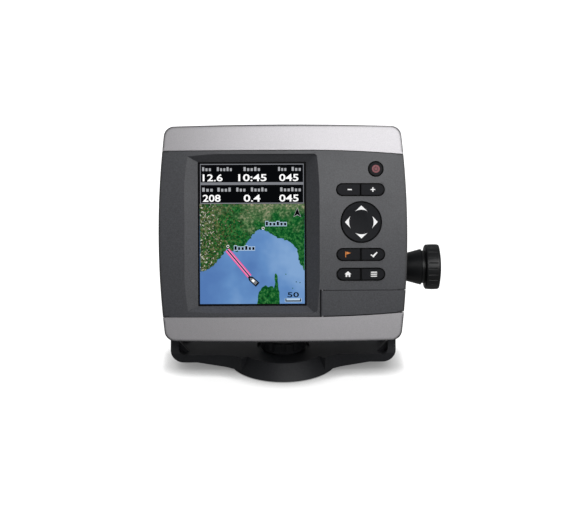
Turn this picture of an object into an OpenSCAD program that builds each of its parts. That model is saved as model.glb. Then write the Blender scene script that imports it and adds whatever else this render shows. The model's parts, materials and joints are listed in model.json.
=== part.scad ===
// Chartplotter on a swivel and tilt bail mount.
// Millimetres, +Z up. The origin is the centre of the mount's underside, on the surface it
// stands on. The front faces -Y and the tilt knob is on the +X side.

/* [Front] */
// Width of the front frame at mid height
face_w = 143.8; // [142:0.2:147]
// Height of the front frame
face_h = 125.6; // [124:0.2:128]
// Radius of the four corners
face_corner = 6; // [4:0.5:8]
// Radius of the curve that bows the two sides
side_bow_r = 520; // [420:20:900]
// Radius of the curve that bows the top and the bottom
edge_bow_r = 2700; // [1800:100:4000]
// Radius of the gently domed front
dome_r = 650; // [600:10:1200]
// Wall of the moulded shells
wall = 2.4; // [2:0.1:2.6]
// Open line between neighbouring mouldings
seam = 0.25; // [0.2:0.05:0.4]
// How far the silver bands bend towards the middle at the right end
band_bend = 2.5; // [0:0.1:3]

/* [Screen] */
// Width of the window's opening
screen_w = 62.8; // [60:0.2:63]
// Height of the window's opening
screen_h = 83.4; // [80:0.2:84]
// Distance of the window's middle to the left of the centre line
screen_x = 17.9; // [16.5:0.05:18]

/* [Keys] */
// Width of a pair of keys' opening
pair_w = 28.4; // [27:0.2:29]
// Height of a pair of keys' opening
pair_h = 7.6; // [7:0.1:8]
// Open line around each key
key_gap = 0.45; // [0.35:0.05:0.5]
// How far the keys stand proud of the front
key_proud = 0.9; // [0.5:0.1:1.2]
// Radius of the four-way rocker's opening
rocker_r = 12.1; // [11:0.1:12.5]

/* [Mount] */
// Height of the tilt line above the surface
pivot_z = 60.9; // [60:0.1:64]
// Backward lean of the head at rest
rest_lean = 20; // [15:1:25]
// Width over the two arms
bail_w = 136; // [135:0.2:137]
// Thickness of the bail's strap
strap_t = 4.8; // [4.4:0.1:5]
// Depth of the arms, front to back
arm_depth = 24; // [20:1:24]
// Depth of the crossbar, front to back
bar_depth = 30; // [28:1:32]
// Radius of the hub's foot
hub_r = 33.3; // [32:0.1:34]
// Circle through the four fixing holes
fixing_pcd = 40; // [36:1:44]
// Radius of the fixing holes
fixing_r = 2.2; // [1.8:0.1:2.5]
// Radius of the tilt knob's grip
grip_r = 13.6; // [12.4:0.1:14]

/* [Hidden] */

$fn = 96;
eps = 0.01;

// Head frame: origin on the tilt line, upright, before the head is leaned back.
face_y = -38;
shell_back = -18;
face_cz = 20;
half_w = face_w / 2;
half_h = face_h / 2;
dome_cy = face_y + dome_r;

band_top_z = face_cz + 47.8;
band_bottom_z = face_cz - 48.3;
band_bend_start = 14;

lens_front = -31.7;
lens_t = 1.5;
lens_back = lens_front + lens_t;
screen_cx = -screen_x;
screen_right = screen_cx + screen_w / 2;
screen_left = screen_cx - screen_w / 2;
screen_cz = face_cz - 0.25;
screen_low = screen_cz - screen_h / 2;
screen_high = screen_cz + screen_h / 2;
recess_right = 21;
recess_left = -57;
recess_top = 65.8;
recess_bottom = -25.9;
recess_corner = 4;
crease_reach = 0.6;

keys_x = 44.75;
zoom_z = 45;
mark_z = 7.6;
home_z = -3.8;
rocker_z = 26.3;
power_x = 53.7;
power_z = 57;
power_r = 4.6;
pad_x = keys_x + 0.35;
pad_back = -31.5;
rocker_ball_r = 2;
rocker_ball_y = -33;
rocker_post_r = 2.4;
rocker_well_r = 3.4;
key_back = -31;
key_flange_front = -31.7;
mat_front = key_back + 0.95;
mat_t = 0.8;
board_front = mat_front + mat_t;
board_t = 1.4;

door_left = 21;
door_top = -12.8;
door_gap = 0.35;
door_back = -26;
hinge_r = 1.2;
hinge_pin_r = 0.6;
hinge_x = door_left + door_gap + hinge_r;
hinge_tilt = 3.5;
hinge_mid_z = -20.3;

board_y = -20;
socket_left = 30;
socket_right = 58;
socket_low = -22.4;
socket_high = -18;
bay_back = -22;

flange_front = shell_back + 0.8;
flange_back = -14;
tub_half_w = 61;
tub_back = 36;
rear_wall = 2.6;
screw_x = 64.6;
screw_low_z = -34.5;
screw_high_z = 74.5;

vent_x = 30;
vent_z = -5;

connector_x = -20;
connector_z = 24;
connector_r = 9;
connector_back = 46;
connector_flange = tub_back - rear_wall - 1.2;
connector_floor = tub_back + 3;

arm_outer = bail_w / 2;
arm_inner = arm_outer - strap_t;
arm_eye_r = arm_depth / 2;
stud_r = 3;
running = 0.05;
bar_top = 10;
bar_bottom = bar_top - strap_t;
hub_top_r = 27.5;
hub_foot = 0.5;
belly_in = 31;
belly_out = 52;
hub_floor = bar_top - 2.1;
well_r = 16;
hub_room_r = 28.9;
hub_room_top = 4.2;
boss_r = 8;
flare_r = 14;
flare_y = bar_depth / 2 + flare_r;
flare_x = sqrt(pow(hub_r - 1 + flare_r, 2) - pow(flare_y, 2));
plate_r = 28.4;
plate_bottom = 1;
plate_top = 3.8;
insert_r = 4.6;
swivel_stud_r = 3;
swivel_top = bar_top + 6.5;
swivel_r = 14;
neck_start = arm_outer + 0.3;
barrel_r = 40;
neck_end = 83.2;
grip_start = 84.9;
grip_end = 95;
stud_in = 53.5;

black = [0.12, 0.12, 0.13];
dark_grey = [0.28, 0.29, 0.31];
key_black = [0.13, 0.13, 0.14];
silver = [0.72, 0.72, 0.73];
board_green = [0.1, 0.36, 0.2];
brass_colour = [0.8, 0.66, 0.3];
steel_colour = [0.7, 0.71, 0.73];

// ---------- shared helpers ----------

// Puts the upright head on the tilt line, leaned back.
module lean() {
    translate([0, 0, pivot_z]) rotate([-rest_lean, 0, 0]) children();
}

// Extrudes a shape drawn in X and Z from y0 to y1.
module slab(y0, y1) {
    translate([0, y1, 0]) rotate([90, 0, 0]) linear_extrude(y1 - y0) children();
}

// Extrudes a shape drawn in Y and Z from x0 to x1.
module bar_x(x0, x1) {
    translate([x0, 0, 0]) rotate([90, 0, 90]) linear_extrude(x1 - x0) children();
}

module rod_x(x0, x1, r) {
    translate([x0, 0, 0]) rotate([0, 90, 0]) cylinder(r = r, h = x1 - x0);
}

module rod_y(x, z, y0, y1, r) {
    translate([x, y1, z]) rotate([90, 0, 0]) cylinder(r = r, h = y1 - y0);
}

module block(x0, x1, y0, y1, z0, z1) {
    translate([x0, y0, z0]) cube([x1 - x0, y1 - y0, z1 - z0]);
}

module rect(x0, x1, z0, z1) {
    translate([x0, z0]) square([x1 - x0, z1 - z0]);
}

module soft_rect(x0, x1, z0, z1, r) {
    rect(x0 + r, x1 - r, z0, z1);
    rect(x0, x1, z0 + r, z1 - r);
    for (x = [x0 + r, x1 - r], z = [z0 + r, z1 - r]) translate([x, z]) circle(r = r, $fn = 48);
}

module ring(r_out, r_in, h) {
    difference() {
        cylinder(r = r_out, h = h);
        translate([0, 0, -1]) cylinder(r = r_in, h = h + 2);
    }
}

// ---------- the front's shapes ----------

// Front outline, inset by a distance: bowed sides, top and bottom, with round corners.
module face_outline(inset = 0) {
    translate([0, face_cz])
    offset(r = face_corner, $fn = 64) offset(delta = -face_corner - inset)
    intersection() {
        side_bows();
        edge_bows();
    }
}

module side_bows() {
    intersection() {
        translate([half_w - side_bow_r, 0]) circle(r = side_bow_r, $fn = 720);
        translate([side_bow_r - half_w, 0]) circle(r = side_bow_r, $fn = 720);
    }
}

module edge_bows() {
    intersection() {
        translate([0, half_h - edge_bow_r]) circle(r = edge_bow_r, $fn = 1440);
        translate([0, edge_bow_r - half_h]) circle(r = edge_bow_r, $fn = 1440);
    }
}

// Ball whose surface is the domed front, sunk by a depth.
module dome(depth = 0) {
    translate([0, dome_cy, face_cz]) sphere(r = dome_r - depth, $fn = 360);
}

function dome_y(x, z) = dome_cy - sqrt(dome_r * dome_r - x * x - (z - face_cz) * (z - face_cz));

module front_block(inset, depth, back) {
    intersection() {
        slab(face_y - 1, back) face_outline(inset);
        dome(depth);
    }
}

module front_shell() {
    difference() {
        front_block(0, 0, shell_back);
        front_block(wall, wall, shell_back + 1);
    }
}

function bend(x) =
    x > band_bend_start ? band_bend * pow((x - band_bend_start) / (half_w - band_bend_start), 2) : 0;
function top_line(x) = band_top_z - bend(x);
function bottom_line(x) = band_bottom_z + bend(x);
band_xs = [for (i = [0:20]) -80 + 8 * i];

// Everything above a line that follows the upper band's edge, moved up by shift.
module above_band(shift) {
    polygon(concat([for (x = band_xs) [x, top_line(x) + shift]], [[80, 120], [-80, 120]]));
}

// Everything below a line that follows the lower band's edge, moved down by shift.
module below_band(shift) {
    polygon(concat([for (x = band_xs) [x, bottom_line(x) - shift]], [[80, -90], [-80, -90]]));
}

module panel_area() {
    difference() {
        rect(-80, 80, -90, 120);
        above_band(-seam / 2);
        below_band(-seam / 2);
    }
}

// Opening of a pair of keys, or one half of it, drawn in X and Z.
module pair_shape(z, inset = 0) {
    r = pair_h / 2 - inset;
    reach = pair_w / 2 - pair_h / 2;
    translate([keys_x, z]) {
        square([2 * reach, 2 * r], center = true);
        for (x = [-reach, reach]) translate([x, 0]) circle(r = r, $fn = 64);
    }
}

module half_pair(z, side, inset) {
    intersection() {
        pair_shape(z, inset);
        if (side < 0) rect(keys_x - pair_w, keys_x - 0.25, z - 10, z + 10);
        if (side > 0) rect(keys_x + 0.25, keys_x + pair_w, z - 10, z + 10);
    }
}

// Outline of the block that carries the sloped recess.
module recess_shape(grow = 0) {
    soft_rect(recess_left - grow, recess_right + grow, recess_bottom - grow,
        recess_top + grow, recess_corner);
}

module screen_shape(grow = 0) {
    rect(screen_left - grow, screen_right + grow, screen_low - grow, screen_high + grow);
}

taper_out = face_y - 2;

// Where a slope from the window's edge to the rim, at the rim's depth, meets the taper's end.
function slope_end(edge, rim, rim_y) =
    edge + (rim - edge) * (lens_front - taper_out) / (lens_front - rim_y);

// Tapered opening from the window out to the recess's rim. Each slope meets the rim some way
// out towards the corners, so that the rim stays straight along most of its length.
module recess_taper() {
    reach_x = screen_cx + crease_reach * (recess_left - screen_cx);
    reach_z = face_cz + crease_reach * (recess_top - face_cz);
    left_end = slope_end(screen_left, recess_left, dome_y(recess_left, reach_z));
    right_end = slope_end(screen_right, recess_right, dome_y(recess_right, reach_z));
    low_end = slope_end(screen_low, recess_bottom, dome_y(reach_x, recess_bottom));
    high_end = slope_end(screen_high, recess_top, dome_y(reach_x, recess_top));
    intersection() {
        translate([0, 0, -60]) linear_extrude(200)
            polygon([[screen_left, lens_back], [screen_left, lens_front], [left_end, taper_out],
                [right_end, taper_out], [screen_right, lens_front], [screen_right, lens_back]]);
        bar_x(-100, 100)
            polygon([[lens_back, screen_low], [lens_front, screen_low], [taper_out, low_end],
                [taper_out, high_end], [lens_front, screen_high], [lens_back, screen_high]]);
        slab(taper_out, lens_back) recess_shape();
    }
}

// ---------- mount: base ----------

module fixing_holes(z0, z1) {
    for (a = [45:90:315]) rotate([0, 0, a]) translate([fixing_pcd / 2, 0, z0])
        cylinder(r = fixing_r, h = z1 - z0, $fn = 48);
}

module base_pad() {
    color(black) difference() {
        cylinder(r = plate_r, h = plate_bottom);
        fixing_holes(-1, 2);
    }
}

module base_plate() {
    sink_r = fixing_r + 1.8;
    color(black) difference() {
        union() {
            translate([0, 0, plate_bottom]) cylinder(r = plate_r, h = plate_top - plate_bottom);
            translate([0, 0, plate_bottom]) cylinder(r = boss_r, h = hub_floor - 0.2 - plate_bottom);
        }
        translate([0, 0, -1]) cylinder(r = insert_r, h = 20);
        fixing_holes(0, 6);
        for (a = [45:90:315]) rotate([0, 0, a]) translate([fixing_pcd / 2, 0, plate_top - 1.8])
            cylinder(r1 = fixing_r, r2 = sink_r, h = 1.8 + eps, $fn = 48);
    }
}

module base_insert() {
    color(brass_colour) translate([0, 0, plate_bottom]) difference() {
        cylinder(r = insert_r, h = hub_floor - 0.2 - plate_bottom);
        translate([0, 0, 0.8]) cylinder(r = swivel_stud_r + running, h = 20);
    }
}

// ---------- mount: bail ----------

// Side view of the strap's half, drawn in Y and Z: a round eye, an arm, and a deeper foot.
module strap_side() {
    translate([0, pivot_z]) circle(r = arm_eye_r);
    rect(-arm_depth / 2, arm_depth / 2, bar_top + 4, pivot_z);
    polygon([[-bar_depth / 2, -1], [bar_depth / 2, -1], [bar_depth / 2, bar_top + 1],
        [arm_depth / 2, bar_top + 8], [-arm_depth / 2, bar_top + 8],
        [-bar_depth / 2, bar_top + 1]]);
}

// Front view of the U strap, drawn in X and Z.
module strap_front() {
    corner = 8;
    difference() {
        union() {
            rect(-arm_outer, arm_outer, bar_bottom + corner, pivot_z + 20);
            rect(-arm_outer + corner, arm_outer - corner, bar_bottom, pivot_z + 20);
            for (x = [-1, 1]) translate([x * (arm_outer - corner), bar_bottom + corner])
                circle(r = corner);
        }
        union() {
            inner = corner - strap_t + 0.8;
            rect(-arm_inner, arm_inner, bar_top + inner, pivot_z + 21);
            rect(-arm_inner + inner, arm_inner - inner, bar_top, pivot_z + 21);
            for (x = [-1, 1]) translate([x * (arm_inner - inner), bar_top + inner])
                circle(r = inner);
        }
    }
    polygon([[-belly_out, bar_bottom + 1], [-belly_out, bar_bottom], [-belly_in, hub_foot + 1],
        [belly_in, hub_foot + 1], [belly_out, bar_bottom], [belly_out, bar_bottom + 1]]);
}

// Plan view: the bar, widening into the round hub with a hollow curve at each of its corners.
module bar_plan() {
    square([2 * arm_outer, bar_depth], center = true);
    for (side = [-1, 1], end = [-1, 1]) difference() {
        polygon([[0, 0], [side * flare_x, 0], [side * flare_x, end * flare_y]]);
        translate([side * flare_x, end * flare_y]) circle(r = flare_r);
    }
}

module gussets() {
    for (side = [-1, 1]) for (y = [-8.5, 8.5])
        translate([0, y + 1.25, 0]) rotate([90, 0, 0]) linear_extrude(2.5)
            polygon([[side * (arm_inner - 7), bar_top - 1], [side * (arm_inner + 1), bar_top - 1],
                [side * (arm_inner + 1), bar_top + 8]]);
}

module bail_bracket() {
    color(black) difference() {
        union() {
            intersection() {
                slab(-40, 40) strap_front();
                bar_x(-80, 80) strap_side();
            }
            intersection() {
                slab(-40, 40) strap_front();
                linear_extrude(bar_top) bar_plan();
            }
            translate([0, 0, hub_foot])
                cylinder(r1 = hub_r, r2 = hub_top_r, h = bar_top - hub_foot, $fn = 180);
            gussets();
        }
        translate([0, 0, -1]) cylinder(r = hub_room_r, h = hub_room_top + 1);
        translate([0, 0, -1]) cylinder(r = boss_r + running, h = 20);
        translate([0, 0, hub_floor]) cylinder(r = well_r, h = 20);
        translate([0, 0, pivot_z]) rod_x(-90, 90, stud_r + running);
    }
}

module swivel_washer() {
    color(steel_colour) translate([0, 0, hub_floor])
        ring(11, boss_r + 0.4, 0.6);
}

module swivel_knob() {
    bottom = hub_floor + 0.9;
    color(black) difference() {
        union() {
            translate([0, 0, bottom]) cylinder(r = swivel_r - 1, h = 1.2);
            translate([0, 0, bottom + 1]) rotate_extrude() {
                square([swivel_r - 1.5, swivel_top - bottom - 1]);
                square([swivel_r, swivel_top - bottom - 2.5]);
                translate([swivel_r - 1.5, swivel_top - bottom - 2.5]) circle(r = 1.5, $fn = 48);
            }
        }
        for (a = [0:30:330]) rotate([0, 0, a]) translate([swivel_r + 1.1, 0, bottom + 2.4])
            cylinder(r = 2, h = 20, $fn = 32);
        translate([0, 0, -1]) cylinder(r = swivel_stud_r, h = swivel_top - 1.5);
    }
}

module swivel_stud() {
    color(steel_colour) translate([0, 0, plate_bottom + 1.2])
        cylinder(r = swivel_stud_r, h = swivel_top - 2.5 - plate_bottom - 1.2);
}

// ---------- mount: tilt ----------

// The knob's half section, drawn with the radius along X and the tilt axis along Y.
module knob_section() {
    neck_len = neck_end - neck_start;
    grip_at = grip_start - neck_start;
    grip_len = grip_end - grip_start;
    cone_small_r = 6.9;
    cone_large_r = 10.8;
    waist_r = 9.8;
    back_round = 1.8;
    front_round = 3.2;
    face_r = 60;
    polygon([[0, 0], [cone_small_r, 0], [cone_large_r, neck_len - 0.5],
        [cone_large_r - 0.6, neck_len], [0, neck_len]]);
    translate([0, neck_len - 1]) square([waist_r, grip_at - neck_len + 2]);
    intersection() {
        translate([0, grip_at]) {
            translate([0, back_round]) square([grip_r, grip_len - front_round - back_round]);
            square([grip_r - back_round, grip_len - front_round]);
            square([grip_r - front_round, grip_len]);
            translate([grip_r - back_round, back_round]) circle(r = back_round, $fn = 48);
            translate([grip_r - front_round, grip_len - front_round])
                circle(r = front_round, $fn = 64);
        }
        translate([0, grip_at + grip_len - face_r]) circle(r = face_r, $fn = 720);
        translate([grip_r - barrel_r, grip_at + grip_len / 2]) circle(r = barrel_r, $fn = 360);
    }
}

module tilt_knob() {
    notch_r = 0.5;
    color(black) translate([0, 0, pivot_z]) difference() {
        translate([neck_start, 0, 0]) rotate([0, 90, 0]) rotate_extrude() knob_section();
        for (a = [0:15:345]) rotate([a, 0, 0]) translate([0, 0, grip_r + notch_r * 0.4])
            rod_x(grip_start + 1.6, grip_end - 2.8, notch_r, $fn = 24);
        rod_x(60, grip_end - 3, stud_r);
        rod_x(grip_end - 1.8, grip_end + 1, 8.6);
    }
}

module tilt_knob_stud() {
    color(steel_colour) translate([0, 0, pivot_z]) rod_x(stud_in, grip_end - 3.5, stud_r);
}

module tilt_knob_cap() {
    color(dark_grey) translate([0, 0, pivot_z]) rod_x(grip_end - 1.8, grip_end - 0.8, 8.5);
}

module mirrored_x() {
    children();
    mirror([1, 0, 0]) children();
}

module pivot_inserts() {
    color(brass_colour) lean() mirrored_x() difference() {
        rod_x(51, tub_half_w, 5);
        rod_x(52.5, tub_half_w + 1, stud_r + running);
    }
}

module friction_washers() {
    color(black) lean() mirrored_x() difference() {
        rod_x(tub_half_w, arm_inner - 0.3, 10.5);
        rod_x(tub_half_w - 1, arm_inner + 1, stud_r + 0.4);
    }
}

module left_pivot_screw() {
    color(steel_colour) lean() {
        rod_x(-arm_outer - 0.9, -stud_in, stud_r);
        difference() {
            rod_x(-arm_outer - 3.1, -arm_outer - 0.9, 5.6);
            rotate([30, 0, 0]) rod_x(-arm_outer - 4, -arm_outer - 1.9, 2, $fn = 6);
        }
    }
}

module left_pivot_washer() {
    color(steel_colour) lean() difference() {
        rod_x(-arm_outer - 0.9, -arm_outer - 0.3, 7.5);
        rod_x(-arm_outer - 2, -arm_outer + 1, stud_r + 0.02);
    }
}

// ---------- head: rear housing ----------

// Side view of the tub, drawn in Y and Z, inset by a distance.
module tub_side(inset) {
    offset(r = 5, $fn = 64) offset(delta = -5 - inset)
        polygon([[-30, -40], [-14, -40], [tub_back, -15], [tub_back, 55], [-14, 79], [-30, 79]]);
}

// Plan view of the tub, drawn in X and Y, inset by a distance.
module tub_plan(inset) {
    offset(r = 6, $fn = 64) offset(delta = -6 - inset)
        polygon([[-tub_half_w, -30], [tub_half_w, -30], [tub_half_w, 14], [48, tub_back],
            [-48, tub_back], [-tub_half_w, 14]]);
}

module tub(inset) {
    intersection() {
        bar_x(-80, 80) tub_side(inset);
        translate([0, 0, -80]) linear_extrude(200) tub_plan(inset);
    }
}

module screw_places() {
    for (x = [-screw_x, screw_x], z = [screw_low_z, screw_high_z]) translate([x, 0, z]) children();
}

module rear_housing() {
    color(black) lean() difference() {
        union() {
            slab(flange_front, flange_back) face_outline(0);
            intersection() {
                tub(0);
                block(-80, 80, flange_front, 60, -60, 100);
            }
            for (i = [0:5]) block(18, 42, tub_back - 2, tub_back + 1.4, 4 + 8 * i, 6.6 + 8 * i);
            rod_y(connector_x, connector_z, tub_back - 2, tub_back + 1.6, connector_r + 4);
        }
        difference() {
            intersection() {
                tub(rear_wall);
                block(-80, 80, flange_front - 5, 60, -60, 100);
            }
            mirrored_x() rod_x(50, 70, 8);
        }
        mirrored_x() rod_x(51, 70, 5);
        screw_places() {
            rod_y(0, 0, -30, 0, 1.3);
            rod_y(0, 0, -15.8, 0, 2.7);
        }
        rod_y(connector_x, connector_z, 20, 60, 6.2);
        rod_y(vent_x, vent_z, 20, 60, 2.6);
        block(connector_x - 22, connector_x + 22, tub_back - 0.6, 60, -9, 3);
    }
}

module case_gasket() {
    color([0.2, 0.2, 0.2]) lean() difference() {
        slab(shell_back, flange_front) face_outline(0.4);
        slab(shell_back - 1, flange_front + 1) intersection() {
            face_outline(9.5);
            rect(-58.4, 58.4, -60, 100);
        }
        screw_places() rod_y(0, 0, -30, 0, 1.6);
    }
}

module case_screws() {
    color(steel_colour) lean() screw_places() difference() {
        union() {
            rod_y(0, 0, -25, -15.7, 1.25);
            rod_y(0, 0, -15.8, -14.2, 2.6);
        }
        rod_y(0, 0, -15.1, -14, 1, $fn = 6);
    }
}

module connector_nut() {
    color(black) lean() difference() {
        rod_y(connector_x, connector_z, tub_back + 1.6, tub_back + 4.6, 11, $fn = 6);
        rod_y(connector_x, connector_z, 30, 60, 6.4);
    }
}

module contact_pins(y0, y1) {
    for (a = [30:60:330])
        rod_y(connector_x + 3 * cos(a), connector_z + 3 * sin(a), y0, y1, 0.5, $fn = 24);
}

module power_connector() {
    key_w = 1.6;
    color(black) lean() difference() {
        union() {
            rod_y(connector_x, connector_z, connector_flange, tub_back + 4.6, 6.1);
            rod_y(connector_x, connector_z, tub_back + 4.6, connector_back, connector_r);
            rod_y(connector_x, connector_z, connector_flange - 3, connector_flange, 8.5);
        }
        difference() {
            rod_y(connector_x, connector_z, connector_floor, 60, 5.4);
            block(connector_x - key_w / 2, connector_x + key_w / 2, tub_back + 2,
                connector_back - 2, connector_z + 4.2, connector_z + 5.8);
        }
    }
}

module connector_seal() {
    color([0.2, 0.2, 0.2]) lean() difference() {
        rod_y(connector_x, connector_z, connector_flange, tub_back - rear_wall, 8);
        rod_y(connector_x, connector_z, 20, 60, 6.15);
    }
}

module connector_contacts() {
    color(brass_colour) lean() {
        contact_pins(connector_flange - 7, connector_flange - 3);
        contact_pins(connector_floor, connector_floor + 5);
    }
}

module breather_vent() {
    color(dark_grey) lean() {
        rod_y(vent_x, vent_z, tub_back - 3.2, tub_back, 2.6);
        rod_y(vent_x, vent_z, tub_back, tub_back + 0.8, 3.8);
    }
}

module rear_label() {
    color([0.75, 0.75, 0.76]) lean()
        block(connector_x - 21.8, connector_x + 21.8, tub_back - 0.6, tub_back - 0.3, -8.8, 2.8);
}

// ---------- head: front mouldings ----------

module door_cut(gap) {
    intersection() {
        slab(face_y - 2, door_back + gap) difference() {
            rect(door_left + door_gap - gap, 90, -60, door_top - door_gap + gap);
            below_band(-seam / 2 - door_gap + gap);
        }
        block(-90, 90, -90, 0, -60, 0);
    }
}

// Line of the door's hinge: upright, leaning with the domed front.
module hinge_line() {
    translate([hinge_x, dome_y(hinge_x, hinge_mid_z) + hinge_r, hinge_mid_z])
        rotate([hinge_tilt, 0, 0]) children();
}

// Hollow behind the front: open all over, but for the block that carries the recess.
module panel_hollow() {
    difference() {
        front_block(wall, wall, shell_back + 1);
        slab(face_y, lens_back) recess_shape();
    }
}

module key_openings() {
    for (z = [zoom_z, mark_z, home_z]) pair_shape(z);
    translate([pad_x, rocker_z]) circle(r = rocker_r, $fn = 128);
    translate([power_x, power_z]) circle(r = power_r, $fn = 64);
}

module face_panel() {
    color(dark_grey) lean() difference() {
        intersection() {
            front_block(0, 0, shell_back);
            slab(face_y - 2, shell_back) panel_area();
        }
        panel_hollow();
        slab(face_y - 2, -20) key_openings();
        recess_taper();
        slab(lens_front, lens_back + 1) screen_shape(2.1);
        door_cut(door_gap);
        hinge_line() translate([0, 0, -20]) cylinder(r = hinge_pin_r, h = 29, $fn = 32);
    }
}

module top_trim() {
    color(silver) lean() intersection() {
        front_shell();
        slab(face_y - 2, shell_back) above_band(seam / 2);
    }
}

module bottom_trim() {
    color(silver) lean() difference() {
        intersection() {
            front_shell();
            slab(face_y - 2, shell_back) below_band(seam / 2);
        }
        hinge_line() translate([0, 0, -9.5]) cylinder(r = hinge_pin_r, h = 20, $fn = 32);
    }
}

module lens_window() {
    color([0.05, 0.05, 0.06]) lean() slab(lens_front, lens_back) screen_shape(2);
}

module lens_seal() {
    color([0.2, 0.2, 0.2]) lean() difference() {
        slab(lens_back, lens_back + 0.6) screen_shape(3.5);
        slab(lens_back - 1, lens_back + 2) screen_shape(0.6);
    }
}

module lcd_panel() {
    color([0.3, 0.45, 0.6]) lean()
        slab(lens_back + 0.6, lens_back + 3.2) screen_shape(3);
}

module backlight_frame() {
    color(steel_colour) lean() difference() {
        slab(lens_back + 0.8, lens_back + 7) screen_shape(3.9);
        slab(lens_back, lens_back + 3.2) screen_shape(3.05);
    }
}

module board_posts() {
    for (x = [-50, 50], z = [14, 66]) translate([x, 0, z]) children();
}

module front_chassis() {
    web_front = -23.9;
    web_back = -22;
    color(black) lean() difference() {
        union() {
            difference() {
                front_block(wall + 0.05, wall + 0.05, shell_back);
                front_block(wall + 2.2, wall + 2.2, shell_back + 1);
            }
            slab(web_front, web_back) face_outline(wall + 1);
            intersection() {
                screw_places() rod_y(0, 0, -26, shell_back, 4.2);
                slab(-30, shell_back) face_outline(wall + 0.1);
            }
            board_posts() rod_y(0, 0, web_back, board_y, 3);
            for (x = [31.5, 62], z = [-5, 59]) rod_y(x, z, board_front + board_t, web_front, 2.5);
        }
        slab(-60, -19) recess_shape(0.3);
        slab(-60, board_front + board_t) rect(25, 67.5, -10, 66);
        slab(-60, door_back - 0.4) rect(door_left - 0.6, 80, -30, -12);
        slab(-60, -20) bay_shape(0);
        screw_places() rod_y(0, 0, -25.1, 0, 1.25);
        board_posts() rod_y(0, 0, -22.2, 0, 1.25);
    }
}

// ---------- head: keys ----------

// Rounded front of a key at height z: follows the dome, standing proud of it.
module key_front(z) {
    slope = asin((z - face_cz) / dome_r);
    translate([0, dome_cy, face_cz]) rotate([-slope, 0, 0])
        cylinder(r = dome_r + key_proud, h = 200, center = true, $fn = 1800);
}

module pair_key(z, side) {
    color(key_black) lean() {
        intersection() {
            slab(face_y - 3, key_back) half_pair(z, side, key_gap);
            key_front(z);
        }
        slab(key_flange_front, key_back) half_pair(z, side, -0.6);
    }
}

module zoom_out_key() {
    pair_key(zoom_z, -1);
}

module zoom_in_key() {
    pair_key(zoom_z, 1);
}

module mark_key() {
    pair_key(mark_z, -1);
}

module select_key() {
    pair_key(mark_z, 1);
}

module home_key() {
    pair_key(home_z, -1);
}

module menu_key() {
    pair_key(home_z, 1);
}

module power_button() {
    color(key_black) lean() {
        intersection() {
            rod_y(power_x, power_z, face_y - 3, key_back, power_r - 0.55);
            key_front(power_z);
        }
        rod_y(power_x, power_z, key_flange_front + 0.2, key_back, power_r + 0.6);
    }
}

module rocker_centre() {
    translate([pad_x, rocker_ball_y, rocker_z]) children();
}

module rocker_pad() {
    dish_r = 60;
    dish_depth = 0.5;
    pad_front = dome_y(pad_x, rocker_z) - key_proud;
    color(key_black) lean() difference() {
        union() {
            intersection() {
                rod_y(pad_x, rocker_z, face_y - 3, pad_back, rocker_r - 0.6);
                key_front(rocker_z);
            }
            rod_y(pad_x, rocker_z, pad_back - 0.7, pad_back, rocker_r + 0.5);
        }
        translate([pad_x, pad_front + dish_depth - dish_r, rocker_z]) sphere(r = dish_r, $fn = 360);
        rocker_centre() sphere(r = rocker_ball_r + running, $fn = 96);
        rod_y(pad_x, rocker_z, rocker_ball_y, pad_back + 1, rocker_well_r);
    }
}

module rocker_pivot() {
    color(dark_grey) lean() rocker_centre() sphere(r = rocker_ball_r, $fn = 96);
}

module rocker_post() {
    color(dark_grey) lean() difference() {
        rod_y(pad_x, rocker_z, rocker_ball_y + 0.6, mat_front, rocker_post_r);
        rocker_centre() sphere(r = rocker_ball_r + running, $fn = 96);
    }
}

module keypad_mat() {
    color([0.16, 0.16, 0.17]) lean()
        slab(mat_front, mat_front + mat_t) soft_rect(28.5, 65, -8.3, 62.4, 3);
}

module key_board() {
    color(board_green) lean() slab(board_front, board_front + board_t)
        soft_rect(28.3, 65.2, -8.6, 62.6, 1.5);
}

// ---------- head: electronics ----------

module main_board() {
    color(board_green) lean() difference() {
        slab(board_y, board_y + 1.6) soft_rect(-54, 54, -9, 70, 2);
        board_posts() rod_y(0, 0, -30, 0, 1.3);
    }
}

module board_screws() {
    color(steel_colour) lean() board_posts() {
        rod_y(0, 0, -22.2, board_y + 1.6, 1.25);
        rod_y(0, 0, board_y + 1.6, board_y + 3, 2.4);
    }
}

module board_chips() {
    color([0.1, 0.1, 0.1]) lean() {
        block(-40, -24, -18.4, -16.8, 40, 56);
        block(-16, -6, -18.4, -17, 44, 54);
        block(-40, -28, -18.4, -16.4, 16, 28);
        block(-18, -8, -18.4, -17.2, 14, 20);
        for (i = [0:3]) block(-14 + 7 * i, -10 + 7 * i, -18.4, -15.4, 0, 4);
    }
}

module shield_can() {
    color(steel_colour) lean() difference() {
        block(4, 34, -18.4, -14.6, 12, 38);
        block(4.6, 33.4, -19, -15.2, 12.6, 37.4);
    }
}

module gps_antenna() {
    color([0.75, 0.72, 0.6]) lean() {
        block(12, 37, -18.4, -14.4, 44, 69);
        block(15, 34, -14.4, -14.1, 47, 66);
    }
}

module beeper() {
    color(black) lean() difference() {
        rod_y(-46, 2, -18.4, -13.4, 6);
        rod_y(-46, 2, -14.4, -13, 1);
    }
}

// Outline of the card bay behind the door, inset by a distance.
module bay_shape(inset) {
    rect(24.4 + inset, 65 - inset, -26.4 + inset, -12.9 - inset);
}

module socket_shape(inset) {
    rect(socket_left + inset, socket_right - inset, socket_low + inset, socket_high - inset);
}

module card_socket() {
    color(steel_colour) lean() difference() {
        slab(bay_back - 0.8, 8) socket_shape(0);
        slab(bay_back - 2, 6) socket_shape(0.9);
    }
}

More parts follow.
